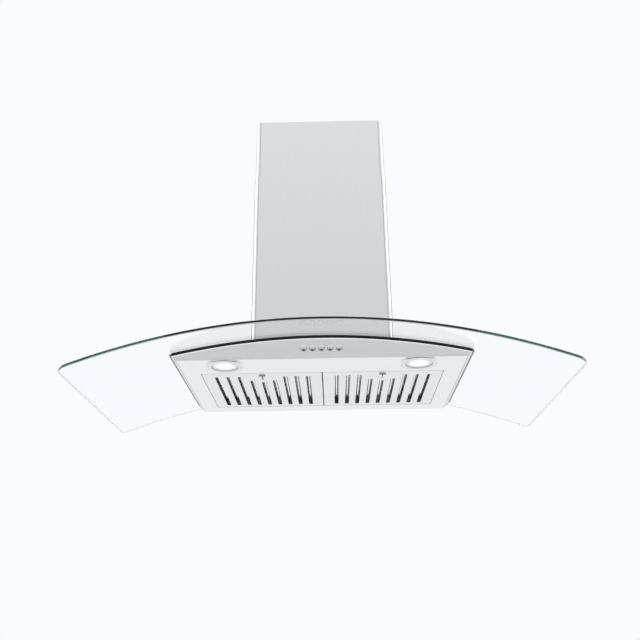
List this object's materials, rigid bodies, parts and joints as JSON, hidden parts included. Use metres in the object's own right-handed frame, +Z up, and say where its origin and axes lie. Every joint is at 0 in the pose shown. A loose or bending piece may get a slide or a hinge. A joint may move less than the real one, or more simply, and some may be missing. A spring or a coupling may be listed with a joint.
{
  "type": "chimney range hood",
  "caption": "Wall-mounted chimney range hood with an arched glass canopy, slim steel body, push buttons, round lamps, drop-down baffle filters and a telescoping steel chimney.",
  "frame": {"origin": "midway between the two wall screws of the hanging rail, in the plane of the wall", "axes": "+X to the viewer's right along the canopy, +Y into the wall, +Z up; the front faces -Y"},
  "size_m": [0.9, 0.443, 0.6545],
  "materials": {
    "glass": "clear, polished edges",
    "gasket_rubber": "matt",
    "brushed_steel": "fine brushed",
    "filter_steel": "satin",
    "baffle_steel": "satin",
    "galvanised": "zinc coated",
    "latch_steel": "dark satin",
    "fastener_steel": "bright",
    "button_chrome": "polished",
    "bezel_chrome": "satin chrome",
    "lamp_lens": "frosted, lit",
    "lamp_board": "white",
    "lamp_alloy": "cast",
    "black_plastic": "fine texture",
    "grey_plastic": "moulded",
    "motor_paint": "baked enamel",
    "capacitor_shell": "moulded"
  },
  "bodies": {
    "hood": {"glass_canopy": "glass", "glass_gasket": "gasket_rubber", "blower_pad": "gasket_rubber", "body_pan": "brushed_steel", "chimney_lower": "brushed_steel", "top_plate": "galvanised", "throat_collar": "galvanised", "blower_housing": "galvanised", "service_cover": "galvanised", "wall_rail": "galvanised", "chimney_clips": "galvanised", "switch_bracket": "galvanised", "motor_bracket": "galvanised", "capacitor_strap": "galvanised", "clamp_bolts": "fastener_steel", "switch_screws": "fastener_steel", "cover_screws": "fastener_steel", "collar_screws": "fastener_steel", "clip_screws": "fastener_steel", "damper_pin": "fastener_steel", "lamp_left_clips": "fastener_steel", "lamp_right_clips": "fastener_steel", "lamp_left_bezel": "bezel_chrome", "lamp_right_bezel": "bezel_chrome", "lamp_left_lens": "lamp_lens", "lamp_right_lens": "lamp_lens", "lamp_left_board": "lamp_board", "lamp_right_board": "lamp_board", "lamp_left_housing": "lamp_alloy", "lamp_right_housing": "lamp_alloy", "switch_block": "black_plastic", "junction_box": "black_plastic", "junction_lid": "black_plastic", "cable_gland": "black_plastic", "outlet_collar": "black_plastic", "scroll_left": "grey_plastic", "scroll_right": "grey_plastic", "motor": "motor_paint", "capacitor": "capacitor_shell"},
    "chimney_top": {"chimney_upper": "brushed_steel", "top_bracket": "galvanised", "top_screws": "fastener_steel"},
    "fan": {"impeller": "grey_plastic", "motor_shaft": "fastener_steel"},
    "flap_front": {"damper_front": "grey_plastic"},
    "flap_rear": {"damper_rear": "grey_plastic"},
    "filter_left": {"filter_left_pan": "filter_steel", "filter_left_baffles": "baffle_steel", "filter_left_guide": "galvanised"},
    "latch_left": {"filter_left_latch": "latch_steel"},
    "filter_right": {"filter_right_pan": "filter_steel", "filter_right_baffles": "baffle_steel", "filter_right_guide": "galvanised"},
    "latch_right": {"filter_right_latch": "latch_steel"},
    "push_1": {"button_1": "button_chrome"},
    "push_2": {"button_2": "button_chrome"},
    "push_3": {"button_3": "button_chrome"},
    "push_4": {"button_4": "button_chrome"},
    "push_5": {"button_5": "button_chrome"}
  },
  "joints": [
    {"name": "chimney_slide", "type": "slide", "parent": "hood", "child": "chimney_top", "axis": [0, 0, 1], "range_m": [-0.09, 0.24]},
    {"name": "fan_spin", "type": "hinge", "parent": "hood", "child": "fan", "pos_m": [0, -0.0875, -0.1031], "axis": [1, 0, 0], "continuous": true},
    {"name": "flap_front_swing", "type": "hinge", "parent": "hood", "child": "flap_front", "pos_m": [0, -0.139, 0.0724], "axis": [-1, 0, 0], "range_deg": [0, 75]},
    {"name": "flap_rear_swing", "type": "hinge", "parent": "hood", "child": "flap_rear", "pos_m": [0, -0.139, 0.0724], "axis": [1, 0, 0], "range_deg": [0, 75]},
    {"name": "filter_left_swing", "type": "hinge", "parent": "hood", "child": "filter_left", "pos_m": [-0.11525, -0.0646, -0.2482], "axis": [1, 0, 0], "range_deg": [0, 60]},
    {"name": "latch_left_slide", "type": "slide", "parent": "filter_left", "child": "latch_left", "axis": [0, 1, 0], "range_m": [0, 0.007], "stiffness_N_per_m": 300, "springref_m": -0.004},
    {"name": "filter_right_swing", "type": "hinge", "parent": "hood", "child": "filter_right", "pos_m": [0.11525, -0.0646, -0.2482], "axis": [1, 0, 0], "range_deg": [0, 60]},
    {"name": "latch_right_slide", "type": "slide", "parent": "filter_right", "child": "latch_right", "axis": [0, 1, 0], "range_m": [0, 0.007], "stiffness_N_per_m": 300, "springref_m": -0.004},
    {"name": "push_1_press", "type": "slide", "parent": "hood", "child": "push_1", "axis": [0, 1, 0], "range_m": [0, 0.003], "stiffness_N_per_m": 500, "springref_m": -0.002},
    {"name": "push_2_press", "type": "slide", "parent": "hood", "child": "push_2", "axis": [0, 1, 0], "range_m": [0, 0.003], "stiffness_N_per_m": 500, "springref_m": -0.002},
    {"name": "push_3_press", "type": "slide", "parent": "hood", "child": "push_3", "axis": [0, 1, 0], "range_m": [0, 0.003], "stiffness_N_per_m": 500, "springref_m": -0.002},
    {"name": "push_4_press", "type": "slide", "parent": "hood", "child": "push_4", "axis": [0, 1, 0], "range_m": [0, 0.003], "stiffness_N_per_m": 500, "springref_m": -0.002},
    {"name": "push_5_press", "type": "slide", "parent": "hood", "child": "push_5", "axis": [0, 1, 0], "range_m": [0, 0.003], "stiffness_N_per_m": 500, "springref_m": -0.002}
  ]
}
